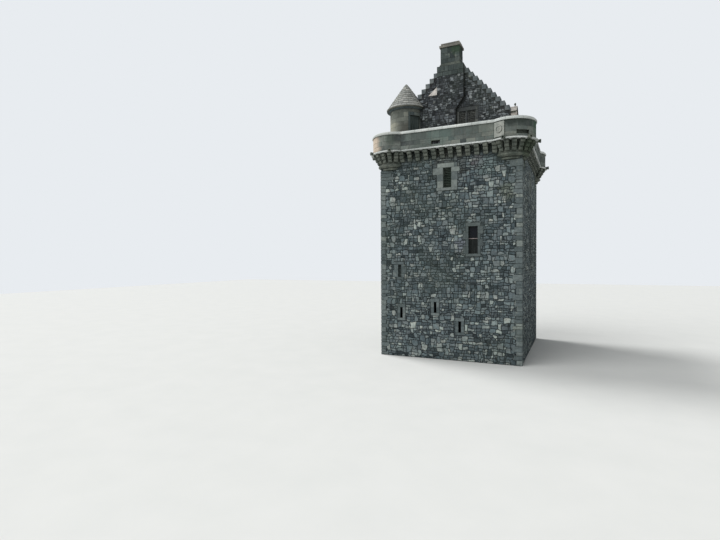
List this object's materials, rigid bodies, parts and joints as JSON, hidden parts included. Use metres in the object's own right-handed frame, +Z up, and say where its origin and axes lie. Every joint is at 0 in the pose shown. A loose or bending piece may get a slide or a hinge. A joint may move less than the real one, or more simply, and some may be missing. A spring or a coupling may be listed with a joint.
{
  "type": "stone tower house",
  "caption": "Small stone tower house with corbelled parapet, open corner rounds, gabled cap-house and conical stair turret.",
  "frame": {"origin": "centre of the plan at ground level", "axes": "+Z up, the front with the carved block and the chimney breast faces -Y, the stair turret is at -X"},
  "size_m": [9.9448, 11.6448, 18.45],
  "materials": {
    "rubble": "rough whinstone and sandstone rubble in lime mortar",
    "ashlar": "dressed sandstone, weathered and lichened",
    "cope_stone": "pale dressed sandstone, weathered",
    "roof_slab": "split stone slabs, weathered",
    "flagstone": "worn paving flags",
    "floor_timber": "sawn oak boards",
    "painted_joinery": "old dark paint on timber",
    "door_boards": "weathered planks, grey green paint",
    "window_glass": "plain glass, dark behind",
    "harling": "pale lime harling on stone"
  },
  "bodies": {
    "root": {"cap_left_wall": "rubble", "cap_right_wall": "rubble", "carved_block": "cope_stone", "chamber_floor": "floor_timber", "chamber_louvres": "painted_joinery", "chamber_window_margins": "cope_stone", "chimney_breast": "rubble", "dormer_finial": "ashlar", "dormer_roof": "roof_slab", "dormer_walls": "harling", "dormer_window_frame": "painted_joinery", "dormer_window_glass": "window_glass", "entrance_door": "door_boards", "front_chimney": "rubble", "front_chimney_cope": "cope_stone", "front_crowsteps": "cope_stone", "front_gable": "rubble", "front_left_round": "ashlar", "front_parapet": "ashlar", "front_right_round": "ashlar", "front_wall": "rubble", "gable_louvres": "painted_joinery", "gable_mullion": "ashlar", "garret_floor": "floor_timber", "ground_floor": "flagstone", "hall_floor": "floor_timber", "hall_window_frames": "painted_joinery", "hall_window_glass": "window_glass", "hall_window_margins": "ashlar", "hall_window_shutters": "painted_joinery", "left_parapet": "ashlar", "left_wall": "rubble", "rear_chimney": "rubble", "rear_chimney_cope": "cope_stone", "rear_crowsteps": "cope_stone", "rear_gable": "rubble", "rear_left_round": "ashlar", "rear_parapet": "ashlar", "rear_right_round": "ashlar", "rear_wall": "rubble", "ridge_stones": "roof_slab", "right_parapet": "ashlar", "right_wall": "rubble", "roof_left": "roof_slab", "roof_right": "roof_slab", "round_copes": "cope_stone", "round_corbels": "ashlar", "round_feet": "ashlar", "round_ledges": "cope_stone", "slit_blocking": "ashlar", "stone_spouts": "ashlar", "straight_copes": "cope_stone", "straight_ledges": "cope_stone", "turret_cornice": "cope_stone", "turret_door": "door_boards", "turret_roof": "roof_slab", "turret_wall": "ashlar", "wall_corbels": "ashlar", "wall_walk": "flagstone"}
  },
  "joints": []
}
